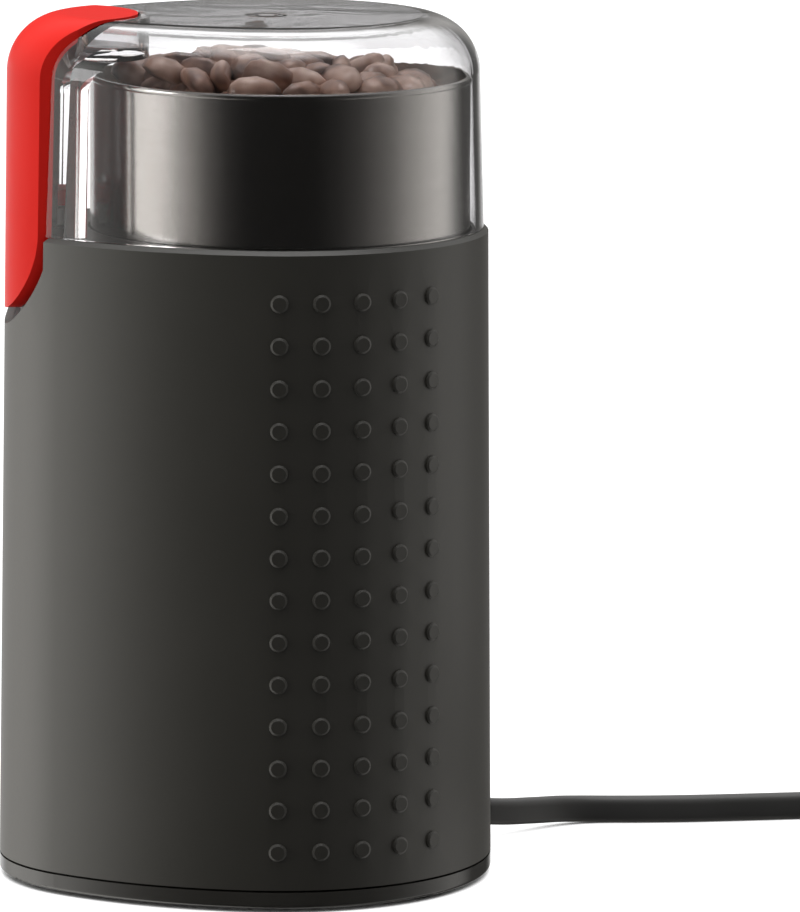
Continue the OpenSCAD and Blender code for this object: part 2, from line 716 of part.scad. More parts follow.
module bracket_screws() color([0.6, 0.6, 0.62])
  for (mx = [-1, 1]) translate([mx * leg_x, 0, low_z]) mirror([0, 0, 1])
    screw(up_z + 3 - low_z, 1.5, 3, 2);
brush_z = comm_z + 4.5;
brush_y = main_r - 13.5;           // outer end of the brush holders
module brush_holder() color([0.14, 0.14, 0.14])
  difference() {
    translate([-5, comm_r + 3, low_z + 3]) cube([10, brush_y - comm_r - 3, brush_z + 4.2 - low_z - 3]);
    translate([-3.25, comm_r + 2, brush_z - 2.75]) cube([6.5, brush_y - comm_r - 3.5, 5.5]);
  }
module carbon_brush() color([0.10, 0.10, 0.10])
  difference() {
    translate([-3.15, comm_r - 1, brush_z - 2.65]) cube([6.3, 11, 5.3]);
    disc(comm_z - 1, comm_z + 12, comm_r + fit);
  }
module brush_spring() color([0.72, 0.72, 0.74])
  translate([0, comm_r + 10.05, brush_z]) rotate([-90, 0, 0])
    spring(1.9, 0.3, 0, brush_y - comm_r - 11.6, 6);
module brush_holder_1() brush_holder();
module brush_holder_2() rotate([0, 0, 180]) brush_holder();
module carbon_brush_1() carbon_brush();
module carbon_brush_2() rotate([0, 0, 180]) carbon_brush();
module brush_spring_1() brush_spring();
module brush_spring_2() rotate([0, 0, 180]) brush_spring();
module grommet(i) color([0.10, 0.10, 0.10]) rotate([0, 0, 45 + 90 * i])
  translate([mount_r, 0, 0]) ring(up_z + 3, up_z + 6, 4, 1.7);
module mount_grommet_1() grommet(0);
module mount_grommet_2() grommet(1);
module mount_grommet_3() grommet(2);
module mount_grommet_4() grommet(3);
module mount_screws() color([0.6, 0.6, 0.62])
  mount_pattern() translate([0, 0, up_z]) mirror([0, 0, 1]) screw(11, 1.4, 2.8, 1.8);
module capacitor() color([0.80, 0.62, 0.15])
  translate([nose_x + 21.4168, -9, base_z]) {
    cube([7.5, 18, 11.5]);
    for (y = [4, 14]) translate([3.75, y, 11.4]) cylinder(h = 4, r = 0.4);
  }

// --- cord exit ---
relief_az = 30;
relief_tilt = 10;
exit_r = main_r - 0.1;
exit_z = base_z + 3.8;
// Local x runs outwards along the cord, z is across its height
module relief_frame()
  translate([exit_r * cos(relief_az), exit_r * sin(relief_az), exit_z])
    rotate([0, 0, relief_az]) rotate([0, relief_tilt, 0]) children();
module oblong(h, w, len)
  rotate([0, 90, 0]) linear_extrude(len) {
    translate([-(h - w) / 2, 0]) circle(d = w);
    translate([(h - w) / 2, 0]) circle(d = w);
    translate([-(h - w) / 2, -w / 2]) square([h - w, w]);
  }
module relief_slot()
  relief_frame() translate([-8, 0, 0]) oblong(cord_h + 2.2, cord_w + 2.2, 20);
module strain_relief() color([0.08, 0.08, 0.08])
  relief_frame() {
    translate([-16, 0, 0]) oblong(cord_h + 1.6, cord_w + 1.6, 20);
    translate([-10.2, 0, 0]) oblong(cord_h + 4, cord_w + 4, 1.8);
    translate([3.9, 0, 0]) oblong(cord_h + 1, cord_w + 1, 2.1);
    translate([5.9, 0, 0]) oblong(cord_h + 0.4, cord_w + 0.4, 2.1);
  }
module cord_clamp() color([0.16, 0.16, 0.17])
  relief_frame() difference() {
    translate([-15.4, -11.2, cord_h / 2 + 0.85]) cube([5, 22.4, 2.6]);
    for (s = [-1, 1]) translate([-12.8, s * 8.2, 0]) cylinder(h = 8, r = 1.3);
  }
module clamp_screws() color([0.6, 0.6, 0.62])
  relief_frame() for (s = [-1, 1]) translate([-12.8, s * 8.2, cord_h / 2 + 3.45])
    screw(7, 0.95, 2.4, 1.5);

// --- cord: chosen route of its middle line, from the relief to the coil, then to the plug ---
run_pts = [[42.7, 24.7, 5.4], [45.5, 26.3, 4.9], [49, 28.4, 4.4], [52.5, 30.8, 4], [56, 33.2, 3.6],
  [59.5, 35.3, 3.3], [63, 36.7, 3], [66.5, 37.4, 2.8], [70, 37.5, 2.7], [77, 37, 2.7],
  [85, 36.8, 2.7], [93, 37, 2.7], [101, 37.4, 2.7], [110, 37.9, 2.7], [118, 38.2, 2.8],
  [125, 38.4, 3], [132, 38.45, 3.2], [138, 38.4, 3.3]];
coil_c = [144, 2.5];
coil_z = 0.6;
coil_ri = 22.6;
coil_ro = 35.8;
// Lies over the coil's turns, then beside it to the plug
tail_pts = [[121.8, 10.6, 7.4], [123.8, 15.4, 7.4], [126.4, 20.1, 7.4], [129.8, 24.8, 7.4],
  [134.3, 29.2, 7.4], [140, 32.9, 7.4], [146.9, 35.5, 7.4], [154.7, 36.5, 7.4], [163.1, 35.7, 7.4],
  [168.9, 34, 6.65], [174.4, 31.8, 5.1], [179.6, 28.9, 3.8], [184.2, 25.1, 3.8], [187.9, 20.4, 4.9],
  [190.2, 14.9, 6.2], [191, 9, 6.85]];
// Oblong section, w wide and h high, swept along the points
function flat(v) = let(n = norm([v[0], v[1]])) [-v[1] / n, v[0] / n, 0];
module strap_tube(p, w, h) {
  n = len(p);
  dir = [for (i = [0 : n - 1]) let(a = p[max(i - 1, 0)], b = p[min(i + 1, n - 1)]) (b - a) / norm(b - a)];
  r = min(w, h) / 2;
  u = max(w, h) / 2;
  oval = [[r, u - r], [r * 0.7, u - r * 0.3], [0, u], [-r * 0.7, u - r * 0.3], [-r, u - r],
    [-r, r - u], [-r * 0.7, r * 0.3 - u], [0, -u], [r * 0.7, r * 0.3 - u], [r, r - u]];
  sec = w > h ? [for (q = oval) [-q[1], q[0]]] : oval;
  m = len(sec);
  pts = [for (i = [0 : n - 1]) let(s = flat(dir[i]), v = cross(dir[i], s)) for (q = sec)
    p[i] + q[0] * s + q[1] * v];
  faces = concat(
    [for (i = [0 : n - 2]) for (j = [0 : m - 1])
      [i * m + j, (i + 1) * m + j, (i + 1) * m + (j + 1) % m, i * m + (j + 1) % m]],
    [[for (j = [0 : m - 1]) j]], [[for (j = [0 : m - 1]) n * m - 1 - j]]);
  polyhedron(points = pts, faces = faces, convexity = 6);
}
module cord_run() color([0.07, 0.07, 0.07]) strap_tube(run_pts, cord_w, cord_h);
module cord_tail() color([0.07, 0.07, 0.07]) strap_tube(tail_pts, cord_h, cord_w);
module cord_coil() color([0.07, 0.07, 0.07])
  translate([coil_c[0], coil_c[1], coil_z]) rotate_extrude() translate([coil_ri, 0])
    square([coil_ro - coil_ri, cord_h]);
module cord_tie() color([0.12, 0.12, 0.12])
  translate([coil_c[0], coil_c[1], 0]) rotate([0, 0, 270]) difference() {
    translate([coil_ri - 0.8, -3, 0]) cube([coil_ro - coil_ri + 1.6, 6, cord_h + 1.2]);
    translate([coil_ri - 0.2, -4, 0.6]) cube([coil_ro - coil_ri + 0.4, 8, cord_h]);
  }
plug_at = [191, 9, 6.85];
plug_t = 13.7;
module plug2d()
  polygon([[-4, 0], [4, 0], [5.5, 12], [13, plug_l - 12], [17.6, plug_l - 6], [17.6, plug_l],
    [-17.6, plug_l], [-17.6, plug_l - 6], [-13, plug_l - 12], [-5.5, 12]]);
module plug_section()
  polygon([[0, -4], [12, -5], [plug_l - 10, -plug_t / 2], [plug_l, -plug_t / 2],
    [plug_l, plug_t / 2], [plug_l - 10, plug_t / 2], [12, 5], [0, 4]]);
module plug() color([0.07, 0.07, 0.07])
  translate(plug_at) rotate([0, 0, 180]) intersection() {
    translate([0, 0, -10]) linear_extrude(20) plug2d();
    rotate([90, 0, 90]) translate([0, 0, -20]) linear_extrude(40) plug_section();
  }
module pin(s)
  translate([plug_at[0] - s * 9.3, plug_at[1] - plug_l, plug_at[2]]) rotate([90, 0, 0]) {
    color([0.1, 0.1, 0.1]) cylinder(h = 9, r = 1.9);
    color([0.78, 0.78, 0.76]) translate([0, 0, 9]) cylinder(h = 9, r = 2);
    color([0.78, 0.78, 0.76]) translate([0, 0, 18]) cylinder(h = 1, r1 = 2, r2 = 1.2);
  }
module plug_pin_1() pin(-1);
module plug_pin_2() pin(1);

translate([axis_x, 0, 0]) {
  lid();
  start_lever();
  grinding_bowl();
  bowl_gasket();
  shaft_bush();
  bush_nut();
  shaft_seal();
  blade();
  blade_hub();
  blade_cap();
  grip_sleeve();
  housing();
  base_plate();
  foot_1();
  foot_2();
  foot_3();
  foot_4();
  base_screws();
  stator_core();
  field_coil_1();
  field_coil_2();
  armature_core();
  armature_winding();
  commutator();
  motor_shaft();
  fan();
  upper_bracket();
  lower_bracket();
  upper_bearing();
  lower_bearing();
  bracket_screws();
  brush_holder_1();
  brush_holder_2();
  carbon_brush_1();
  carbon_brush_2();
  brush_spring_1();
  brush_spring_2();
  mount_grommet_1();
  mount_grommet_2();
  mount_grommet_3();
  mount_grommet_4();
  mount_screws();
  switch_body();
  switch_button();
  switch_terminals();
  push_rod();
  rod_spring();
  rod_seal();
  capacitor();
  strain_relief();
  cord_clamp();
  clamp_screws();
  cord_run();
  cord_coil();
  cord_tail();
  cord_tie();
  plug();
  plug_pin_1();
  plug_pin_2();
}
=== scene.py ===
import bpy
import math
import numpy as np
from mathutils import Matrix, Vector


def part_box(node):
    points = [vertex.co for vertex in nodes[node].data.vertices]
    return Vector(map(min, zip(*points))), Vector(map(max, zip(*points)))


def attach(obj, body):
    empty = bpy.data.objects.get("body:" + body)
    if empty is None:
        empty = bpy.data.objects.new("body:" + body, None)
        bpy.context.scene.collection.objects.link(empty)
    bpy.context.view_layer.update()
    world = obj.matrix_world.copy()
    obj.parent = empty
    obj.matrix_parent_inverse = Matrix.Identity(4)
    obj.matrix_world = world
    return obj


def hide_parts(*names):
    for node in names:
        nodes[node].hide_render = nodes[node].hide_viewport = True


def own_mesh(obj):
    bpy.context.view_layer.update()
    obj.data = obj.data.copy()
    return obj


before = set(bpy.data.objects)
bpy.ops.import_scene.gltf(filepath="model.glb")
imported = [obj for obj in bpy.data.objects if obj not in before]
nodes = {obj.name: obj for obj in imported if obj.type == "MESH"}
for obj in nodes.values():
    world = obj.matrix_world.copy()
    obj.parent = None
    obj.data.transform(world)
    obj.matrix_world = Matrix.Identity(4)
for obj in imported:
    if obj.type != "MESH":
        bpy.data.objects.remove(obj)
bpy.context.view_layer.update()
axisX = 0.0064584        # motor axis, x in the row frame, metres
mm = 0.001
print("frame loaded:", len(nodes), "nodes")


# Points in mm, counted from the motor axis, as metres in the row frame.
def rowPoints(points):
    p = np.array(points, float) * mm
    p[:, 0] += axisX
    return p


# Catmull-Rom curve through the points: on each span half of
# 2b + (c - a)t + (2a - 5b + 4c - d)t^2 + (3b - a - 3c + d)t^3. Then points on it at equal steps.
def smoothLine(points, step, fine=24):
    p = np.vstack([2 * points[0] - points[1], points, 2 * points[-1] - points[-2]])
    t = np.linspace(0, 1, fine, endpoint=False)[:, None]
    a, b, c, d = (p[i:len(p) - 3 + i, None, :] for i in range(4))
    curve = 2 * b + (c - a) * t
    curve = curve + (2 * a - 5 * b + 4 * c - d) * t ** 2
    curve = 0.5 * (curve + (3 * b - a - 3 * c + d) * t ** 3)
    curve = np.vstack([curve.reshape(-1, 3), points[-1:]])
    along = np.concatenate([[0], np.cumsum(np.linalg.norm(np.diff(curve, axis=0), axis=1))])
    at = np.linspace(0, along[-1], max(2, int(round(along[-1] / step)) + 1))
    return np.stack([np.interp(at, along, curve[:, k]) for k in range(3)], 1)


# Faces of a closed grid of rows by sides corners: quads between the rows, and at each end
# a fan to a pole, whose number comes after all the corners.
def gridFaces(rows, sides):
    i, j = np.meshgrid(np.arange(rows - 1), np.arange(sides), indexing="ij")
    beside = (j + 1) % sides
    above = (i + 1) * sides
    quads = np.stack([i * sides + j, i * sides + beside, above + beside, above + j], -1).reshape(-1, 4)
    k = np.arange(sides)
    beside = (k + 1) % sides
    top = (rows - 1) * sides
    first = np.stack([beside, k, np.full(sides, rows * sides)], 1)
    last = np.stack([top + k, top + beside, np.full(sides, rows * sides + 1)], 1)
    return quads, np.vstack([first, last])


# Closed skin over rings of points (rows, sides, 3); each end ring closes on its middle point.
def gridPiece(name, rings):
    quads, fans = gridFaces(*rings.shape[:2])
    verts = np.vstack([rings.reshape(-1, 3), rings[0].mean(0), rings[-1].mean(0)])
    return meshPiece(name, verts, quads, fans)


# Six times the volume between the origin and the triangles a, b, c.
def sixVolumes(a, b, c):
    return np.einsum("ij,ij->i", a, np.cross(b, c)).sum()


# Mesh object from arrays, its faces turned so that the volume is positive.
def meshPiece(name, verts, quads, tris):
    a, b, c, d = (verts[quads[:, k]] for k in range(4))
    volume = sixVolumes(a, b, c) + sixVolumes(a, c, d)
    volume += sixVolumes(*(verts[tris[:, k]] for k in range(3)))
    if volume < 0:
        quads = quads[:, ::-1]
        tris = tris[:, ::-1]
    mesh = bpy.data.meshes.new(name)
    mesh.from_pydata(verts.tolist(), [], quads.tolist() + tris.tolist())
    mesh.shade_smooth()
    piece = bpy.data.objects.new(name, mesh)
    bpy.context.scene.collection.objects.link(piece)
    return piece


# One node tree. A value given for a socket is set on it, and a socket given for it is linked.
class Shade:
    def __init__(self, tree, ending):
        self.tree = tree
        self.tree.nodes.clear()
        self.out = self.add(ending)

    def add(self, kind, **values):
        node = self.tree.nodes.new("ShaderNode" + kind)
        for key, value in values.items():
            if key in node.inputs:
                self.put(node.inputs[key], value)
            else:
                setattr(node, key, value)
        return node

    def put(self, socket, value):
        if isinstance(value, bpy.types.NodeSocket):
            self.tree.links.new(value, socket)
        else:
            socket.default_value = value

    # Fills the sockets at these places, for nodes that have several of one name.
    def fill(self, node, places, values):
        for place, value in zip(places, values):
            self.put(node.inputs[place], value)
        return node

    def finish(self, shader):
        self.put(self.out.inputs["Surface"], shader.outputs[0])

    def coords(self, scale=(1, 1, 1)):
        at = self.add("TexCoord")
        return self.add("Mapping", Vector=at.outputs["Object"], Scale=scale).outputs[0]

    def ramp(self, factor, *stops):
        node = self.add("ValToRGB", Fac=factor)
        marks = node.color_ramp.elements
        for mark, (place, colour) in zip((marks[0], marks[1]), (stops[0], stops[-1])):
            mark.position = place
            mark.color = (*colour, 1)
        for place, colour in stops[1:-1]:
            marks.new(place).color = (*colour, 1)
        return node.outputs[0]

    # Straight line from low..high to start..end, held past both ends.
    def remap(self, value, low, high, start=0.0, end=1.0):
        limits = {"From Min": low, "From Max": high, "To Min": start, "To Max": end}
        return self.add("MapRange", Value=value, **limits).outputs[0]

    # Soft step: 3t^2 - 2t^3 of the way from low to high.
    def ease(self, value, low, high):
        limits = {"From Min": low, "From Max": high}
        return self.add("MapRange", interpolation_type="SMOOTHSTEP", Value=value, **limits).outputs[0]

    def math(self, operation, *values):
        return self.fill(self.add("Math", operation=operation), (0, 1), values).outputs[0]

    def blend(self, factor, a, b):
        return self.fill(self.add("Mix", data_type="RGBA"), (0, 6, 7), (factor, a, b)).outputs[2]

    def mixShader(self, factor, a, b):
        return self.fill(self.add("MixShader"), (0, 1, 2), (factor, a.outputs[0], b.outputs[0]))

    def bump(self, height, strength, distance, normal=None):
        node = self.add("Bump", Height=height, Strength=strength, Distance=distance)
        if normal is not None:
            self.put(node.inputs["Normal"], normal)
        return node.outputs[0]

    def surface(self, **values):
        spaced = {key.replace("_", " "): value for key, value in values.items()}
        self.finish(self.add("BsdfPrincipled", **spaced))


def newShade(name):
    material = bpy.data.materials.new(name)
    material.use_nodes = True
    s = Shade(material.node_tree, "OutputMaterial")
    s.material = material
    return s


# Gives a CAD node a material in each of its slots.
def dress(node, material):
    for slot in nodes[node].material_slots:
        slot.material = material


# The node's own corners, merged, so that light runs over its rounds without a step.
# Edges sharper than the crease angle, in degrees, stay sharp.
def smoothSkin(name, node, crease):
    source = nodes[node].data
    corners = np.empty(len(source.vertices) * 3)
    loops = np.empty(len(source.loops), int)
    source.vertices.foreach_get("co", corners)
    source.loops.foreach_get("vertex_index", loops)
    verts, place = np.unique(np.round(corners.reshape(-1, 3), 6), axis=0, return_inverse=True)
    tris = place.reshape(-1)[loops].reshape(-1, 3)
    piece = meshPiece(name, verts, np.zeros((0, 4), int), tris)
    piece.data.set_sharp_from_angle(angle=math.radians(crease))
    return piece


# Metres and radians, lens and sensor in mm.
cameraSpot = {"distance": 1.49352, "height": 0.32409, "side": 0.0944,
              "heading": 0.1100, "down": 0.1610, "roll": 0.0060,
              "lens": 308.3, "sensor": 36, "near": 0.05, "far": 60}


# Stands on a circle round the motor axis, looks along its heading and down, then rolls.
def placeCamera(c):
    data = bpy.data.cameras.new("camera")
    data.sensor_fit = "AUTO"
    data.sensor_width = c["sensor"]
    data.lens = c["lens"]
    data.clip_start = c["near"]
    data.clip_end = c["far"]
    camera = bpy.data.objects.new("camera", data)
    bpy.context.scene.collection.objects.link(camera)
    spot = Vector((axisX - c["distance"] * math.sin(c["side"]),
                   -c["distance"] * math.cos(c["side"]), c["height"]))
    h, d, r = c["heading"], c["down"], c["roll"]
    ahead = Vector((math.sin(h) * math.cos(d), math.cos(h) * math.cos(d), -math.sin(d)))
    level = Vector((math.cos(h), -math.sin(h), 0))
    over = level.cross(ahead)
    right = level * math.cos(r) + over * math.sin(r)
    up = over * math.cos(r) - level * math.sin(r)
    turn = Matrix((right, up, -ahead)).transposed()
    camera.matrix_world = Matrix.Translation(spot) @ turn.to_4x4()
    bpy.context.scene.camera = camera


placeCamera(cameraSpot)
print("camera placed")


# Mains cord: out of the base, a coil, and back over it to the plug. Places in mm from the
# motor axis, and the route's step in metres.
cord = {"height": 5.4, "width": 3.3, "around": 20, "step": 0.0018, "rollOver": 15}
runPoints = [[42.7, 24.7, 5.4], [45.5, 26.3, 4.9], [49, 28.4, 4.4], [52.5, 30.8, 4], [56, 33.2, 3.6],
             [59.5, 35.3, 3.3], [63, 36.7, 3], [66.5, 37.4, 2.8], [70, 37.5, 2.7], [77, 37, 2.7],
             [85, 36.8, 2.7], [93, 37, 2.7], [101, 37.4, 2.7], [110, 37.9, 2.7], [118, 38.2, 2.8],
             [125, 38.3, 3], [131, 38, 3.2], [137, 37.3, 3.3]]
tailPoints = [[123.8, 15.4, 7.65], [126.4, 20.1, 7.65], [129.8, 24.8, 7.65], [134.3, 29.2, 7.65],
              [140, 32.9, 7.65], [146.9, 35.5, 7.65], [154.7, 36.5, 7.65], [163.1, 35.7, 7.5],
              [168.9, 34, 6.65], [174.4, 31.8, 5.1], [179.6, 28.9, 3.8], [184.2, 25.1, 3.8],
              [187.9, 20.4, 4.9], [190.2, 14.9, 6.2], [191, 9, 6.85]]
coil = {"centre": (144, 2.5), "enter": 90, "leave": -859, "end": -920, "turnStep": 15.0,
        "outer": 34.15, "pitch": 3.6, "z": 3.3, "over": 7.65, "climbPoints": 7, "inward": 1.05}


# Spiral inwards, clockwise: r falls by a pitch each turn. Then z rises by 3t^2 - 2t^3 onto the turns.
def coilPoints(c):
    climb = np.linspace(0, 1, c["climbPoints"])
    turn = np.arange(c["enter"], c["leave"], -c["turnStep"])
    r = c["outer"] - c["pitch"] * (c["enter"] - turn) / 360
    inner = c["outer"] - c["pitch"] * (c["enter"] - c["leave"]) / 360
    turn = np.concatenate([turn, c["leave"] + (c["end"] - c["leave"]) * climb])
    r = np.concatenate([r, inner - c["inward"] * climb])
    z = np.full(len(r), float(c["z"]))
    z[-c["climbPoints"]:] += (c["over"] - c["z"]) * climb ** 2 * (3 - 2 * climb)
    turn = np.radians(turn)
    return np.stack([r * np.cos(turn), r * np.sin(turn), z], 1) + np.array([*c["centre"], 0])


# Section of a flat cord, a circle of radius r with its halves moved apart to the height.
def stadium(turn, r, height, width):
    return r * np.cos(turn), r * np.sin(turn) + np.sign(np.sin(turn)) * (height - width) / 2


# The section carried along the line, upright at first, rolled over flat by 3t^2 - 2t^3
# between two of the line's points.
def strapTube(name, line, c, flatFrom, flatAt):
    ahead = np.gradient(line, axis=0)
    ahead /= np.linalg.norm(ahead, axis=1)[:, None]
    side = np.stack([-ahead[:, 1], ahead[:, 0], np.zeros(len(line))], 1)
    side /= np.linalg.norm(side, axis=1)[:, None]
    over = np.cross(ahead, side)
    share = np.clip((np.arange(len(line)) - flatFrom) / (flatAt - flatFrom), 0, 1)
    roll = (np.pi / 2 * share ** 2 * (3 - 2 * share))[:, None]
    wide = side * np.cos(roll) + over * np.sin(roll)
    tall = over * np.cos(roll) - side * np.sin(roll)
    turn = np.linspace(0, 2 * np.pi, c["around"], endpoint=False)
    height, width = c["height"] * mm, c["width"] * mm
    x, y = stadium(turn, width / 2, height, width)
    rings = line[:, None, :] + x[None, :, None] * wide[:, None, :] + y[None, :, None] * tall[:, None, :]
    return gridPiece(name, rings)


route = smoothLine(rowPoints(np.vstack([runPoints, coilPoints(coil), tailPoints])), cord["step"])
tailAt = int(np.argmin(np.linalg.norm(route - rowPoints(tailPoints[:1]), axis=1)))
mainsCord = strapTube("mainsCord", route, cord, tailAt - cord["rollOver"], tailAt)
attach(mainsCord, "body")
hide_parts("cord_run", "cord_coil", "cord_tail")


plugForm = {"at": (191, 9, 6.85), "along": 90, "around": 64,
            "stations": [0, 3, 8, 13, 18, 23, 27, 31, 34.4, 35.5, 36],
            "halfWide": [3.9, 4.1, 4.7, 6.2, 9.0, 12.6, 15.2, 17.1, 17.5, 17.1, 16.2],
            "halfHigh": [3.9, 4.0, 4.5, 5.2, 5.9, 6.4, 6.7, 6.85, 6.85, 6.5, 5.8],
            "corner": [2.0, 2.2, 2.6, 3.0, 3.4, 3.8, 4.2, 4.6, 4.8, 4.8, 4.8],
            "neck": (0.5, 11.5), "ease": 1.0, "ribs": 5, "ribSpan": 11, "ribDeep": 0.35}


# How far a row of ribs sinks at t: half of 1 - cos over the span, eased in and out.
def ribWave(t, start, span, count, fadeIn, fadeOut):
    return fadeIn * fadeOut * (0.5 - 0.5 * np.cos(2 * np.pi * (t - start) * count / span))


# Superellipse |x/w|^n + |z/h|^n = 1, its w, h and n carried along the plug; ribs over the neck.
def plugRings(c):
    t = np.linspace(0, c["stations"][-1], c["along"])
    w, h, n = (np.interp(t, c["stations"], c[k])[:, None] for k in ("halfWide", "halfHigh", "corner"))
    fadeIn = np.clip((t - c["neck"][0]) / c["ease"], 0, 1)
    fadeOut = np.clip((c["neck"][1] - t) / c["ease"], 0, 1)
    rib = (c["ribDeep"] * ribWave(t, 0, c["ribSpan"], c["ribs"], fadeIn, fadeOut))[:, None]
    a = np.linspace(0, 2 * np.pi, c["around"], endpoint=False)[None, :]
    x = (w - rib) * np.sign(np.cos(a)) * np.abs(np.cos(a)) ** (2 / n)
    z = (h - rib) * np.sign(np.sin(a)) * np.abs(np.sin(a)) ** (2 / n)
    y = -t[:, None] * np.ones_like(a)
    points = (np.stack([x, y, z], -1) + np.array(c["at"])).reshape(-1, 3)
    return rowPoints(points).reshape(c["along"], c["around"], 3)


plugBody = gridPiece("plugBody", plugRings(plugForm))
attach(plugBody, "body")
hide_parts("plug")


reliefForm = {"azimuth": 30, "tilt": 10, "exit": (41.4, 6.8), "along": 120, "around": 32,
              "stations": [-16, -15.4, -10.21, -10.2, -8.4, -8.39, 3.6, 8],
              "margin": [0.5, 0.8, 0.8, 2.0, 2.0, 0.8, 0.8, 0.18],
              "ribFrom": 1, "ribEnd": 0.4, "easeIn": 1.0, "easeOut": 0.6, "ribs": 4, "ribDeep": 0.22}


# The cord's section plus a margin that steps over a flange, then tapers outwards in ribs.
# It is tilted down and turned to the side where the cord leaves.
def reliefRings(c):
    end = c["stations"][-1]
    t = np.linspace(c["stations"][0], end, c["along"])
    fadeIn = np.clip((t - c["ribFrom"]) / c["easeIn"], 0, 1)
    fadeOut = np.clip((end - c["ribEnd"] - t) / c["easeOut"], 0, 1)
    rib = ribWave(t, c["ribFrom"], end - c["ribFrom"], c["ribs"], fadeIn, fadeOut)
    margin = np.interp(t, c["stations"], c["margin"]) - c["ribDeep"] * rib
    a = np.linspace(0, 2 * np.pi, c["around"], endpoint=False)[None, :]
    y, z = stadium(a, cord["width"] / 2 + margin[:, None], cord["height"], cord["width"])
    x = t[:, None] * np.ones_like(a)
    tilt = math.radians(c["tilt"])
    x, z = x * math.cos(tilt) + z * math.sin(tilt), -x * math.sin(tilt) + z * math.cos(tilt)
    x = x + c["exit"][0]
    azimuth = math.radians(c["azimuth"])
    x, y = x * math.cos(azimuth) - y * math.sin(azimuth), x * math.sin(azimuth) + y * math.cos(azimuth)
    points = np.stack([x, y, z + c["exit"][1]], -1).reshape(-1, 3)
    return rowPoints(points).reshape(c["along"], c["around"], 3)


reliefSleeve = gridPiece("reliefSleeve", reliefRings(reliefForm))
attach(reliefSleeve, "body")
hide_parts("strain_relief")


sleeveCrease = 24        # degrees
gripSleeve = smoothSkin("gripSleeve", "grip_sleeve", sleeveCrease)
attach(gripSleeve, "body")
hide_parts("grip_sleeve")
print("sleeve smoothed")


springForm = {"turns": 6, "dead": 0.75, "wire": 0.35, "travel": 2.2, "around": 10, "perTurn": 28}


# Round wire on a helix whose rise stops for the dead turn at each end.
# Its radius and height fill the node's box.
def springRings(c, low, high):
    n = c["turns"] * c["perTurn"] + 1
    t = np.linspace(0, c["turns"], n)
    wire = c["wire"] * mm
    rise = np.clip((t - c["dead"]) / (c["turns"] - 2 * c["dead"]), 0, 1)
    middle = (low + high) / 2
    radius = (high[0] - low[0]) / 2 - wire
    turn = 2 * np.pi * t
    out = np.stack([np.cos(turn), np.sin(turn), np.zeros(n)], 1)
    line = radius * out + np.array([middle[0], middle[1], 0])
    line[:, 2] = low[2] + wire + (high[2] - low[2] - 2 * wire) * rise
    a = np.linspace(0, 2 * np.pi, c["around"], endpoint=False)[None, :, None]
    return line[:, None, :] + wire * (np.cos(a) * out[:, None, :] + np.sin(a) * np.array([0, 0, 1]))


low, high = (np.array(corner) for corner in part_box("rod_spring"))
rodSpring = gridPiece("rodSpring", springRings(springForm, low, high))
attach(rodSpring, "body")
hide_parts("rod_spring")
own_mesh(rodSpring)
print("return spring wound")


# corners: the ambient occlusion levels over which the glow fades in, a painted contact shadow.
floorForm = {"reach": 6, "grey": 0.4, "contact": 0.004, "corners": (0.15, 0.5), "glow": 0.9}


# White floor that keeps the shadow: a grey that glows, its glow dimmed by ambient occlusion near the object
# as a painted contact shadow.
# It is clear to rays that have bounced off a shiny face, so metal and plastic show the
# studio's soft boxes and dark front instead.
def makeStage(c):
    r = c["reach"]
    floorMesh = bpy.data.meshes.new("floor")
    floorMesh.from_pydata([(-r, -r, 0), (r, -r, 0), (r, r, 0), (-r, r, 0)], [], [(0, 1, 2, 3)])
    floor = bpy.data.objects.new("floor", floorMesh)
    bpy.context.scene.collection.objects.link(floor)
    s = newShade("floorWhite")
    path = s.add("LightPath")
    plain = s.add("BsdfDiffuse", Color=(c["grey"],) * 3 + (1,))
    contact = s.add("AmbientOcclusion", Distance=c["contact"], samples=8)
    # The glow fades where ambient occlusion finds the object close: painted contact shadow.
    lit = s.remap(contact.outputs["AO"], *c["corners"], 0.0, c["glow"])
    glow = s.add("Emission", Color=(1, 1, 1, 1), Strength=lit)
    both = s.fill(s.add("AddShader"), (0, 1), (plain.outputs[0], glow.outputs[0]))
    seen = s.math("MAXIMUM", path.outputs["Is Camera Ray"], path.outputs["Is Transmission Ray"])
    bounced = s.math("GREATER_THAN", path.outputs["Glossy Depth"])
    shown = s.mixShader(seen, plain, both)
    s.finish(s.mixShader(bounced, shown, s.add("BsdfTransparent")))
    floorMesh.materials.append(s.material)


# Light by direction round the axis, in degrees from the camera, left negative.
# The pairs of limits below it are shares of a direction's z, or of its y away from the camera.
studio = {"around": [(-180, 0.12), (-168, 0.2), (-155, 0.7), (-135, 1.4), (-108, 2.0), (-88, 1.5),
                     (-72, 0.62), (-58, 0.17), (-45, 0.04), (-32, 0.012), (10, 0.012), (24, 0.03),
                     (38, 0.07), (57, 0.2), (75, 0.5), (98, 0.88), (106, 0.72), (118, 0.1),
                     (145, 0.06), (160, 0.4), (170, 0.12)],
          "tint": (1.0, 0.98, 0.94), "overFront": 0.3, "overBack": 1.25, "zenith": 2.6,
          "rise": (0.3, 0.6), "turnBack": (-0.1, 0.5), "peak": (0.86, 0.94),
          "behind": (0.86, 0.96), "underfoot": -0.02}


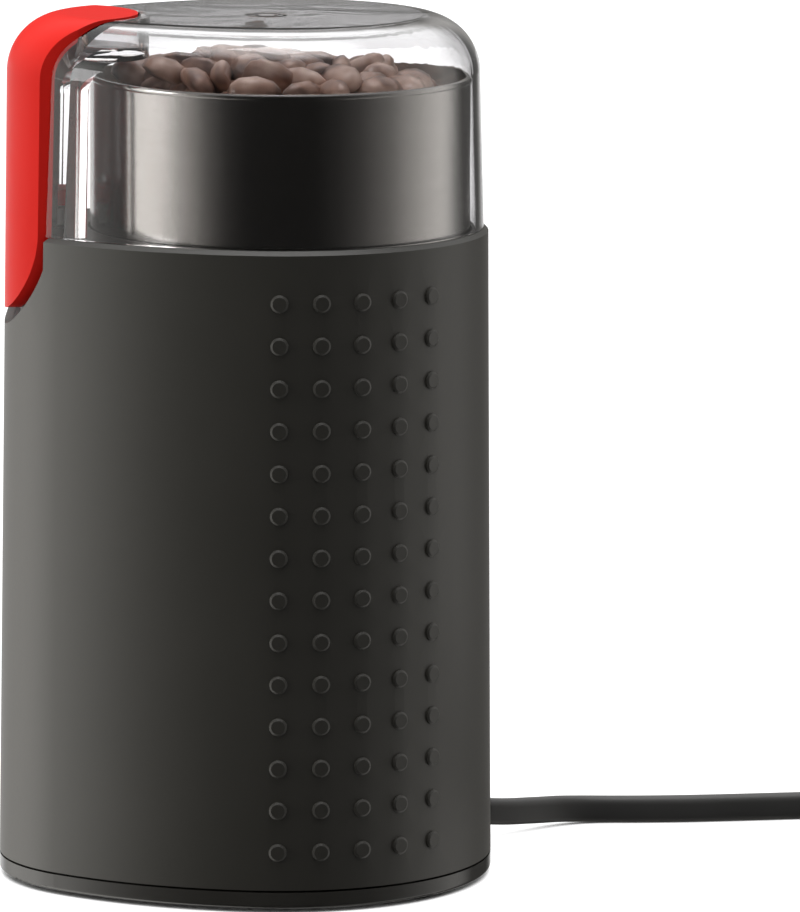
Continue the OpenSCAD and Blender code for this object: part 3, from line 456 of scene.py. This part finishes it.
# White where the camera looks out, also through clear plastic; light by direction for the rest:
# soft boxes at both sides, a dark room in front, pale overhead, white ground far behind.
def makeWorld(c):
    world = bpy.data.worlds.new("studio")
    bpy.context.scene.world = world
    world.use_nodes = True
    s = Shade(world.node_tree, "OutputWorld")
    white = (1, 1, 1, 1)
    look = s.add("TexCoord").outputs["Generated"]
    turned = s.add("VectorRotate", rotation_type="Z_AXIS", Vector=look, Angle=-cameraSpot["side"])
    way = s.add("SeparateXYZ", Vector=turned.outputs[0]).outputs
    angle = s.math("ARCTAN2", way["X"], s.math("MULTIPLY", way["Y"], -1))
    share = s.remap(angle, -math.pi, math.pi)
    tint = np.array(c["tint"])
    around = s.ramp(share, *[((d + 180) / 360, tuple(light * tint)) for d, light in c["around"]])
    back = s.ease(way["Y"], *c["turnBack"])
    over = s.ramp(back, (0, (c["overFront"],) * 3), (1, (c["overBack"],) * 3))
    sky = s.blend(s.ease(way["Z"], *c["rise"]), around, over)
    roof = s.blend(s.ease(way["Z"], *c["peak"]), sky, (c["zenith"],) * 3 + (1,))
    below = s.math("LESS_THAN", way["Z"], c["underfoot"])
    farGround = s.math("MULTIPLY", s.ease(way["Y"], *c["behind"]), below)
    ground = s.blend(farGround, roof, white)
    path = s.add("LightPath").outputs
    clear = s.math("MAXIMUM", path["Is Camera Ray"], path["Is Transmission Ray"])
    bounced = s.math("ADD", path["Glossy Depth"], path["Diffuse Depth"])
    shown = s.blend(s.math("GREATER_THAN", clear, bounced), ground, white)
    s.finish(s.add("Background", Color=shown))


# Square soft boxes that look at the middle of the object and show in no reflection.
lamps = {"topBox": {"spot": (0.02, -0.02, 1.3), "size": 0.4, "power": 3},
         "leftBox": {"spot": (-1.4, -0.2, 0.35), "size": 0.5, "power": 4.5}}
lampAim = Vector((axisX, 0, 0.1))


def softLamp(name, c):
    data = bpy.data.lights.new(name, "AREA")
    data.size = c["size"]
    data.energy = c["power"]
    lamp = bpy.data.objects.new(name, data)
    lamp.location = c["spot"]
    lamp.rotation_euler = (lampAim - Vector(c["spot"])).to_track_quat("-Z", "Y").to_euler()
    lamp.visible_glossy = False
    bpy.context.scene.collection.objects.link(lamp)


makeStage(floorForm)
makeWorld(studio)
for name, values in lamps.items():
    softLamp(name, values)
bpy.context.scene.view_settings.view_transform = "Standard"
print("stage set")


# Ring left by the moulding gate on the lid's top: its middle, the radii of its edges, its height.
gateMark = {"at": (0.0033, -0.003, 0.1676), "ring": (0.0022, 0.0027, 0.0036, 0.0041),
            "reach": 0.01, "rise": 0.003}


# Clear moulding: full transmission, a breath of haze, faint flow lines as height,
# and the gate's ring as height by distance from its middle.
def clearPlastic(name, tint, haze):
    s = newShade(name)
    flow = s.add("TexNoise", Vector=s.coords((1, 1, 0.35)), Scale=45.0, Detail=2.0, Distortion=0.6)
    away = s.add("VectorMath", operation="DISTANCE")
    s.fill(away, (0, 1), (s.coords(), gateMark["at"]))
    far = s.remap(away.outputs["Value"], 0.0, gateMark["reach"])
    levels = ((0, 0, 0), (1, 1, 1), (1, 1, 1), (0, 0, 0))
    ring = s.ramp(far, *zip([r / gateMark["reach"] for r in gateMark["ring"]], levels))
    flowLines = s.bump(flow.outputs[0], 0.15, 0.0004)
    s.surface(Base_Color=(*tint, 1), Transmission_Weight=1.0, IOR=1.53,
              Roughness=s.remap(flow.outputs[0], 0, 1, 0.0, haze),
              Normal=s.bump(ring, 1.0, gateMark["rise"], flowLines))
    return s.material


# Moulded plastic or rubber: a slow cloud in the colour, a fine grain in roughness and height.
def mouldedPlastic(name, dark, light, rough, grain=900.0, height=0.00004, ior=1.5, **more):
    s = newShade(name)
    at = s.coords()
    cloud = s.add("TexNoise", Vector=at, Scale=38.0, Detail=3.0)
    fine = s.add("TexNoise", Vector=at, Scale=grain, Detail=3.0)
    tone = s.ramp(cloud.outputs[0], (0.3, dark), (0.7, light))
    s.surface(Base_Color=tone, Roughness=s.remap(fine.outputs[0], 0, 1, *rough), IOR=ior,
              Normal=s.bump(fine.outputs[0], 0.2, height), **more)
    return s.material


# Metal with tool marks: noise stretched along the marks, in colour, roughness and height.
def workedMetal(name, dark, light, rough, stretch, height=0.00002, strength=0.1):
    s = newShade(name)
    marks = s.add("TexNoise", Vector=s.coords(stretch), Scale=1.0, Detail=3.0)
    cloud = s.add("TexNoise", Vector=s.coords(), Scale=60.0, Detail=2.0)
    both = s.math("MULTIPLY", marks.outputs[0], s.remap(cloud.outputs[0], 0, 1, 0.7, 1.3))
    tone = s.ramp(both, (0.2, dark), (0.8, light))
    s.surface(Base_Color=tone, Metallic=1.0, Roughness=s.remap(both, 0, 1, *rough),
              Normal=s.bump(marks.outputs[0], strength, height))
    return s.material


# Stacked sheets or wound wire: a wave across the stack darkens the gaps, dark joints between the sheets and
# painted shade in the grooves between the wire's turns, and rounds each turn.
# A wave at scale 0.314 repeats once a metre, so the scale is that over the pitch.
def bandedMetal(name, base, jointAndShade, pitch, rough, axis, metallic=1.0):
    s = newShade(name)
    wave = s.add("TexWave", bands_direction=axis, Vector=s.coords(), Scale=0.314 / pitch,
                 Distortion=0.4, Detail=1.0, **{"Detail Scale": 2.0})
    fine = s.add("TexNoise", Vector=s.coords(), Scale=700.0, Detail=2.0)
    # The darker colour: dark joints between sheets, painted shade between wire turns.
    tone = s.ramp(wave.outputs["Fac"], (0.08, jointAndShade), (0.5, base))
    s.surface(Base_Color=tone, Metallic=metallic, Roughness=s.remap(fine.outputs[0], 0, 1, *rough),
              Normal=s.bump(wave.outputs["Fac"], 0.5, pitch * 0.3))
    return s.material


# Carbon or sintered bronze: a fine speckle of grains over a plain ground.
def pressedSheen(name, base, speck, rough):
    s = newShade(name)
    grains = s.add("TexVoronoi", Vector=s.coords(), Scale=2600.0).outputs["Distance"]
    tone = s.ramp(grains, (0.1, speck), (0.6, base))
    s.surface(Base_Color=tone, Metallic=0.6, Roughness=s.remap(grains, 0, 1, *rough),
              Normal=s.bump(grains, 0.2, 0.00004))
    return s.material


# Each finish: its darker and lighter colour, its roughness from and to, then grain and height.
finishes = {
    "clear": clearPlastic("clearPlastic", (0.975, 0.97, 0.98), 0.03),
    "red": mouldedPlastic("redPlastic", (0.80, 0.018, 0.012), (0.84, 0.022, 0.015), (0.30, 0.38),
                          300.0, 0.000004, Specular_IOR_Level=0.05),
    "sleeve": mouldedPlastic("sleeveRubber", (0.029, 0.0268, 0.0205), (0.035, 0.0323, 0.0255),
                             (0.42, 0.50), 2400.0, 0.00004, ior=1.82, Sheen_Weight=0.12,
                             Sheen_Roughness=0.4, Sheen_Tint=(1.0, 0.965, 0.91, 1)),
    "rubber": mouldedPlastic("softRubber", (0.018, 0.018, 0.018), (0.026, 0.025, 0.024),
                             (0.6, 0.75), 1800.0, 0.00006),
    "housing": mouldedPlastic("darkPlastic", (0.036, 0.034, 0.031), (0.044, 0.042, 0.038),
                              (0.36, 0.46)),
    "band": mouldedPlastic("bandPlastic", (0.036, 0.034, 0.030), (0.044, 0.042, 0.038),
                           (0.12, 0.18), 400.0, 0.000004, ior=1.65),
    "white": mouldedPlastic("whitePlastic", (0.72, 0.71, 0.68), (0.80, 0.79, 0.76), (0.35, 0.45)),
    "black": mouldedPlastic("blackPlastic", (0.014, 0.0138, 0.0135), (0.02, 0.0195, 0.019),
                            (0.28, 0.38)),
    "cord": mouldedPlastic("cordSheath", (0.060, 0.059, 0.057), (0.075, 0.073, 0.071),
                           (0.36, 0.48), 1400.0, 0.00004),
    "button": mouldedPlastic("buttonRed", (0.42, 0.02, 0.015), (0.50, 0.03, 0.02), (0.3, 0.4)),
    "yellow": mouldedPlastic("capacitorCase", (0.70, 0.50, 0.05), (0.78, 0.58, 0.08), (0.3, 0.4)),
    "steel": workedMetal("spunSteel", (0.455, 0.44, 0.42), (0.49, 0.475, 0.455), (0.17, 0.20),
                         (6, 6, 2200), 0.000006, 0.02),
    "blade": workedMetal("groundSteel", (0.50, 0.50, 0.50), (0.72, 0.71, 0.70), (0.18, 0.32),
                         (1600, 60, 60)),
    "bracket": workedMetal("pressedSteel", (0.38, 0.39, 0.40), (0.55, 0.56, 0.57), (0.30, 0.45),
                           (260, 260, 260)),
    "shaft": workedMetal("turnedSteel", (0.50, 0.50, 0.51), (0.68, 0.68, 0.69), (0.18, 0.30),
                         (40, 40, 3200)),
    "zinc": workedMetal("zincPlate", (0.50, 0.52, 0.54), (0.66, 0.68, 0.70), (0.25, 0.40),
                        (500, 500, 500)),
    "spring": workedMetal("springWire", (0.42, 0.42, 0.43), (0.60, 0.60, 0.61), (0.25, 0.35),
                          (900, 900, 900)),
    "brass": workedMetal("stampedBrass", (0.60, 0.42, 0.15), (0.74, 0.54, 0.22), (0.25, 0.38),
                         (300, 300, 1200)),
    "nickel": workedMetal("nickelPin", (0.60, 0.58, 0.54), (0.72, 0.70, 0.66), (0.15, 0.28),
                          (60, 1800, 60)),
    "bars": workedMetal("copperBars", (0.55, 0.24, 0.12), (0.80, 0.40, 0.22), (0.22, 0.35),
                        (30, 30, 2400)),
    # Second colour of each: dark joints between the sheets, painted shade between the windings' turns.
    "sheets": bandedMetal("laminations", (0.33, 0.33, 0.34), (0.08, 0.08, 0.085), 0.0005,
                          (0.35, 0.5), "Z"),
    "coil": bandedMetal("copperWinding", (0.62, 0.25, 0.10), (0.16, 0.05, 0.02), 0.0006,
                        (0.25, 0.4), "Z", 0.8),
    "turns": bandedMetal("armatureWinding", (0.60, 0.23, 0.09), (0.15, 0.05, 0.02), 0.0006,
                         (0.25, 0.4), "X", 0.8),
    "bronze": pressedSheen("sinteredBronze", (0.50, 0.34, 0.16), (0.26, 0.17, 0.08), (0.35, 0.55)),
    "carbon": pressedSheen("pressedCarbon", (0.035, 0.035, 0.037), (0.09, 0.09, 0.09), (0.45, 0.6)),
}
wearers = {
    "clear": ["lid"], "red": ["start_lever"], "sleeve": ["grip_sleeve"], "band": ["base_plate"],
    "housing": ["housing"], "steel": ["grinding_bowl"], "blade": ["blade"], "shaft": ["motor_shaft"],
    "rubber": ["foot_1", "foot_2", "foot_3", "foot_4", "bowl_gasket", "shaft_seal", "rod_seal",
               "mount_grommet_1", "mount_grommet_2", "mount_grommet_3", "mount_grommet_4"],
    "black": ["blade_cap", "blade_hub", "fan", "brush_holder_1", "brush_holder_2", "switch_body",
              "cord_clamp", "cord_tie"],
    "white": ["push_rod"], "button": ["switch_button"], "yellow": ["capacitor"],
    "bracket": ["upper_bracket", "lower_bracket"], "sheets": ["stator_core", "armature_core"],
    "coil": ["field_coil_1", "field_coil_2"], "turns": ["armature_winding"], "bars": ["commutator"],
    "zinc": ["base_screws", "bracket_screws", "mount_screws", "clamp_screws", "bush_nut"],
    "spring": ["rod_spring", "brush_spring_1", "brush_spring_2"], "brass": ["switch_terminals"],
    "nickel": ["plug_pin_1", "plug_pin_2"], "bronze": ["shaft_bush", "upper_bearing", "lower_bearing"],
    "carbon": ["carbon_brush_1", "carbon_brush_2"],
}
for finish, pieces in wearers.items():
    for piece in pieces:
        dress(piece, finishes[finish])
for piece in (mainsCord, plugBody, reliefSleeve):
    piece.data.materials.append(finishes["cord"])
gripSleeve.data.materials.append(finishes["sleeve"])
rodSpring.data.materials.append(finishes["spring"])
drawnAnew = {"cord_run", "cord_coil", "cord_tail", "plug", "strain_relief"}
dressed = {piece for pieces in wearers.values() for piece in pieces}
print("finishes given; bare nodes:", sorted(set(nodes) - dressed - drawnAnew))


# Load of the bowl, mm and radians. Bean: half length, width and thickness, the angles of its
# bands. Heap: a lattice in layers under a dome, below the lid's ceiling.
beans = {"long": 5.6, "wide": 4.2, "thick": 3.5, "under": 0.45, "blunt": 0.8, "bands": (0.38, 0.88),
         "crease": 1.0, "creaseWide": 0.6, "around": 12, "sizes": (0.9, 1.08),
         "tip": 0.5, "lean": 2.6, "pitch": 7.2, "rowShare": 0.866, "reach": 28.9, "jitter": 1.3,
         "layers": 3, "layerStep": 4.0, "layerShift": (3.1, 1.7), "heapTop": 158.8,
         "heapDrop": 5.0, "heapRough": 0.9, "apex": (-5.0, 0.0), "ceiling": 163.8,
         "bedAround": 48, "seed": 7}
bedProfile = [(0.01, 121), (31, 121), (31, 101.9), (33, 103.3), (34.3, 105.6), (35.1, 109),
              (35.1, 148.5), (26, 150.5), (12, 152), (0.01, 152.4)]


# Half-dome bean: x = long cos t, its radius (sin t)^blunt, a round back above,
# flatter below with a crease down the middle. The last two points are its ends.
def beanShape(b):
    near, far = b["bands"]
    t = np.array([near, far, np.pi / 2, np.pi - far, np.pi - near])[:, None]
    a = np.linspace(0, 2 * np.pi, b["around"], endpoint=False)[None, :]
    r = np.sin(t) ** b["blunt"]
    x = b["long"] * np.cos(t) * np.ones_like(a)
    y = b["wide"] * r * np.cos(a)
    z = b["thick"] * r * np.where(np.sin(a) > 0, np.sin(a), b["under"] * np.sin(a))
    z = z + b["crease"] * r * np.exp(-(y / b["creaseWide"]) ** 2) * (np.sin(a) < 0)
    ends = [[b["long"], 0, 0], [-b["long"], 0, 0]]
    return np.vstack([np.stack([x, y, z], -1).reshape(-1, 3), ends]), len(t)


# Turn matrices: any way round, tipped a little, leaning any amount about the bean's length.
def spinTurns(chance, count, tip, lean):
    yaw = chance.uniform(0, 2 * np.pi, count)
    tip = chance.uniform(-tip, tip, count)
    lean = chance.uniform(-lean, lean, count)
    zero, one = np.zeros_like(yaw), np.ones_like(yaw)
    turnZ = np.array([[np.cos(yaw), -np.sin(yaw), zero], [np.sin(yaw), np.cos(yaw), zero],
                      [zero, zero, one]])
    turnY = np.array([[np.cos(tip), zero, np.sin(tip)], [zero, one, zero],
                      [-np.sin(tip), zero, np.cos(tip)]])
    turnX = np.array([[one, zero, zero], [zero, np.cos(lean), -np.sin(lean)],
                      [zero, np.sin(lean), np.cos(lean)]])
    return np.einsum("abn,bcn,cdn->nad", turnZ, turnY, turnX)


# Middles of the beans: a jittered hexagonal lattice in layers; z falls with the square
# of the distance from the heap's apex.
def heapSpots(b, chance):
    n = int(b["reach"] / b["pitch"]) + 2
    i, j = np.meshgrid(np.arange(-n, n + 1), np.arange(-n, n + 1))
    flat = np.stack([(i + 0.5 * j) * b["pitch"], j * b["pitch"] * b["rowShare"]], -1).reshape(-1, 2)
    spots = []
    for layer in range(b["layers"]):
        at = flat + chance.uniform(-b["jitter"], b["jitter"], flat.shape) + layer * np.array(b["layerShift"])
        at = at[np.linalg.norm(at, axis=1) < b["reach"]]
        away = np.linalg.norm(at - b["apex"], axis=1) / b["reach"]
        z = b["heapTop"] - b["heapDrop"] * away ** 2 - b["layerStep"] * layer
        z = z + chance.uniform(-b["heapRough"], b["heapRough"], len(away))
        spots.append(np.column_stack([at, z]))
    return np.vstack(spots)


# A bed turned from the profile fills the bowl clear of the blade, and the beans lie on it,
# each one turned at random and kept under the ceiling.
def pourBeans(b, profile):
    chance = np.random.default_rng(b["seed"])
    spots = heapSpots(b, chance)
    shape, bands = beanShape(b)
    size = chance.uniform(*b["sizes"], len(spots))[:, None, None]
    turns = spinTurns(chance, len(spots), b["tip"], b["lean"])
    points = np.einsum("nad,vd->nva", turns, shape) * size + spots[:, None, :]
    points[:, :, 2] -= np.maximum(points[:, :, 2].max(1) - b["ceiling"], 0)[:, None]
    quads, ends = gridFaces(bands, b["around"])
    first = (np.arange(len(spots)) * len(shape))[:, None, None]
    quads = (np.roll(quads[:, ::-1], 1, axis=1)[None] + first).reshape(-1, 4)
    ends = (ends[:, [1, 0, 2]][None] + first).reshape(-1, 3)
    turn = np.linspace(0, 2 * np.pi, b["bedAround"], endpoint=False)
    r, z = np.array(profile).T
    ring = np.ones_like(turn)
    bed = np.stack([r[:, None] * np.cos(turn), r[:, None] * np.sin(turn), z[:, None] * ring], -1)
    wall, poles = gridFaces(len(r), len(turn))
    start = points.size // 3
    verts = np.vstack([points.reshape(-1, 3), bed.reshape(-1, 3), [[0, 0, z[0]], [0, 0, z[-1]]]])
    heap = meshPiece("beanHeap", rowPoints(verts), np.vstack([quads, wall + start]),
                     np.vstack([ends, poles + start]))
    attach(heap, "body")
    return heap


# Roast brown that varies from bean to bean, slightly shiny, with fine wrinkles.
def roastedBean():
    s = newShade("roastedBean")
    patch = s.add("TexNoise", Vector=s.coords(), Scale=140.0, Detail=2.0)
    fine = s.add("TexNoise", Vector=s.coords(), Scale=900.0, Detail=4.0)
    tone = s.ramp(patch.outputs[0], (0.34, (0.12, 0.058, 0.040)), (0.5, (0.36, 0.21, 0.155)),
                  (0.66, (0.60, 0.43, 0.355)))
    s.surface(Base_Color=tone, Roughness=s.remap(fine.outputs[0], 0, 1, 0.22, 0.42), IOR=1.5,
              Normal=s.bump(fine.outputs[0], 0.4, 0.00015))
    return s.material


pourBeans(beans, bedProfile).data.materials.append(roastedBean())
print("bowl filled")
